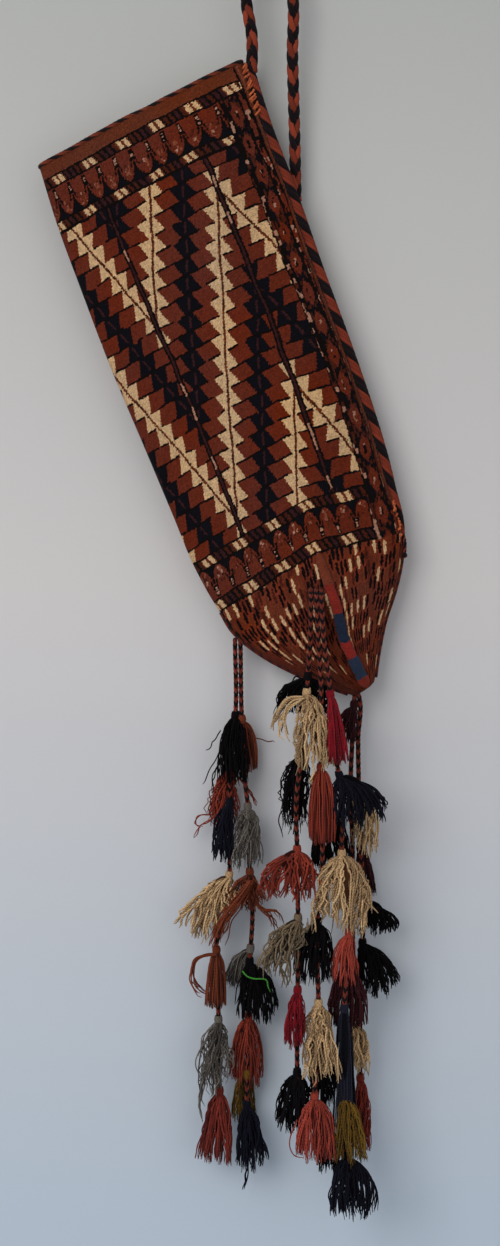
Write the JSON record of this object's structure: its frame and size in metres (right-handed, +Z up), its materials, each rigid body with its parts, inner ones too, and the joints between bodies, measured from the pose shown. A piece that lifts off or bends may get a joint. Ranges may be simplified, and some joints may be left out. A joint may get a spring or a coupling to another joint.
{
  "type": "tent pole bag",
  "caption": "Long pile-woven tube bag with a pointed bottom, hung aslant by a braided rope, with bunches of braided strings that carry wool tassels.",
  "frame": {"origin": "inside of the top of the hanging rope, where a peg holds it", "axes": "+Z up, -Y toward the viewer, +Y toward the wall, +X to the viewer's right"},
  "size_m": [0.3915, 0.1044, 1.3001],
  "materials": {
    "black_wool": "loose wool yarn, matt",
    "braid_wool": "thick braided wool in rust and black",
    "brown_wool": "loose wool yarn, matt",
    "coral_wool": "loose wool yarn, matt",
    "cream_wool": "loose wool yarn, matt",
    "crimson_wool": "loose wool yarn, matt",
    "edge_cord": "overcast wool yarn",
    "grey_wool": "loose wool yarn, matt",
    "maroon_wool": "loose wool yarn, matt",
    "navy_wool": "loose wool yarn, matt",
    "olive_wool": "loose wool yarn, matt",
    "rust_pile": "dense woven wool pile, matt",
    "seam_wool": "wrapped wool yarn over the seam",
    "slate_wool": "loose wool yarn, matt",
    "stitch_wool": "whipping of orange wool yarn",
    "string_wool": "thin braided wool in rust and black",
    "taupe_wool": "loose wool yarn, matt",
    "terracotta_wool": "loose wool yarn, matt"
  },
  "bodies": {
    "bag": {"back_seam_roll": "seam_wool", "corner_whipping": "stitch_wool", "end_whipping": "stitch_wool", "front_seam_roll": "seam_wool", "hanging_rope": "braid_wool", "left_seam_roll": "seam_wool", "mouth_binding": "edge_cord", "pile_bag": "rust_pile", "right_seam_roll": "seam_wool", "side_braid": "braid_wool"},
    "left_strings": {"black_tassel_low_left": "black_wool", "black_tassel_top_left": "black_wool", "brown_tassel_low_left": "brown_wool", "brown_tassel_top_left": "brown_wool", "brown_tassel_wide_left": "brown_wool", "coral_tassel_left": "coral_wool", "cream_tassel_left": "cream_wool", "crimson_tassel_low_left": "crimson_wool", "grey_green_tassel_left": "taupe_wool", "grey_tassel_left": "grey_wool", "grey_tassel_low_left": "grey_wool", "navy_tassel_left": "navy_wool", "navy_tassel_low_left": "navy_wool", "olive_tassel_left": "olive_wool", "string_left_inner": "string_wool", "string_left_outer": "string_wool", "terracotta_tassel_left": "terracotta_wool"},
    "front_strings": {"black_tassel_front_last": "black_wool", "black_tassel_front_left": "black_wool", "black_tassel_front_low": "black_wool", "black_tassel_front_middle": "black_wool", "black_tassel_front_top": "black_wool", "coral_tassel_front_low": "coral_wool", "coral_tassel_front_middle": "coral_wool", "cream_tassel_front_low": "cream_wool", "cream_tassel_front_middle": "cream_wool", "cream_tassel_front_top": "cream_wool", "crimson_tassel_front_left": "crimson_wool", "crimson_tassel_front_top": "crimson_wool", "navy_tassel_front_fan": "navy_wool", "navy_tassel_front_last": "navy_wool", "olive_tassel_front": "olive_wool", "slate_tassel_front": "slate_wool", "string_front_left": "string_wool", "string_front_middle": "string_wool", "string_front_right": "string_wool", "taupe_tassel_front": "taupe_wool", "terracotta_tassel_front": "terracotta_wool", "terracotta_tassel_front_fan": "terracotta_wool"},
    "tip_strings": {"beige_tassel_tip": "cream_wool", "beige_tassel_tip_low": "cream_wool", "black_tassel_tip": "black_wool", "black_tassel_tip_low": "black_wool", "brown_tassel_tip": "maroon_wool", "coral_tassel_tip_low": "coral_wool", "maroon_tassel_tip": "maroon_wool", "string_tip_left": "string_wool", "string_tip_right": "string_wool"}
  },
  "joints": [
    {"name": "left_strings_swing", "type": "hinge", "parent": "bag", "child": "left_strings", "pos_m": [-0.03293, 0.0043, -0.70363], "axis": [0, 1, 0], "range_deg": [-2, 30]},
    {"name": "front_strings_swing", "type": "hinge", "parent": "bag", "child": "front_strings", "pos_m": [0.04805, -0.05576, -0.65138], "axis": [0, 1, 0], "range_deg": [-25, 25]},
    {"name": "tip_strings_swing", "type": "hinge", "parent": "bag", "child": "tip_strings", "pos_m": [0.09261, 0, -0.76118], "axis": [0, 1, 0], "range_deg": [-30, 2]}
  ]
}
